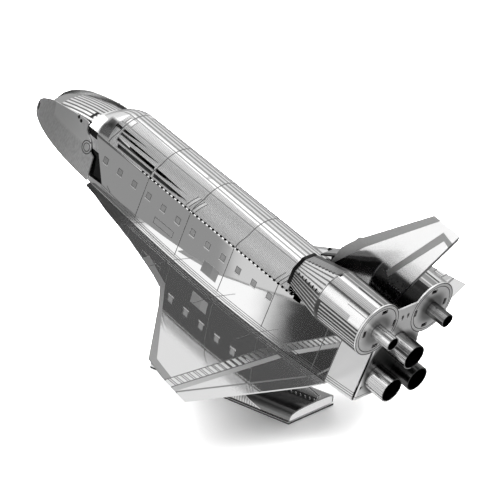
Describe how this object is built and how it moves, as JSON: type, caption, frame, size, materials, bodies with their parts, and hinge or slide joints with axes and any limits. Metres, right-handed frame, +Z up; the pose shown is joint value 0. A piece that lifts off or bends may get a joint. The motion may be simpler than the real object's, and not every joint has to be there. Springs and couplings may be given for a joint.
{
  "type": "sheet-metal space shuttle model on stand",
  "caption": "Desk model of a winged spaceplane orbiter folded from thin polished sheet steel, nose up on a bent-sheet stand.",
  "frame": {"origin": "middle of the underside of the stand's base plate, which rests on the floor", "axes": "+Z up, nose towards -Y, port side towards +X; the craft is pitched 19.9 degrees nose up"},
  "size_m": [0.057, 0.0851, 0.0381],
  "materials": {
    "polished_steel": "bright polished sheet steel",
    "lined_steel": "bright sheet steel etched with fine parallel lines",
    "etched_steel": "matt grey etched sheet steel",
    "nozzle_steel": "rolled bright sheet steel with fine lines along it"
  },
  "bodies": {
    "root": {"side_panel_port": "polished_steel", "side_panel_starboard": "polished_steel", "side_fold_port": "polished_steel", "side_fold_starboard": "polished_steel", "nose_side_port": "etched_steel", "nose_side_starboard": "etched_steel", "nose_top": "lined_steel", "bay_roof": "lined_steel", "belly_and_wings": "polished_steel", "tail_plate": "etched_steel", "rear_plate": "etched_steel", "pod_shell_port": "lined_steel", "pod_shell_starboard": "lined_steel", "pod_fairing_port": "lined_steel", "pod_fairing_starboard": "lined_steel", "pod_nozzle_port": "nozzle_steel", "pod_nozzle_starboard": "nozzle_steel", "main_nozzle_port": "nozzle_steel", "main_nozzle_starboard": "nozzle_steel", "main_nozzle_top": "nozzle_steel", "stand_base": "polished_steel", "stand_side_port": "polished_steel", "stand_side_starboard": "polished_steel"}
  },
  "joints": []
}
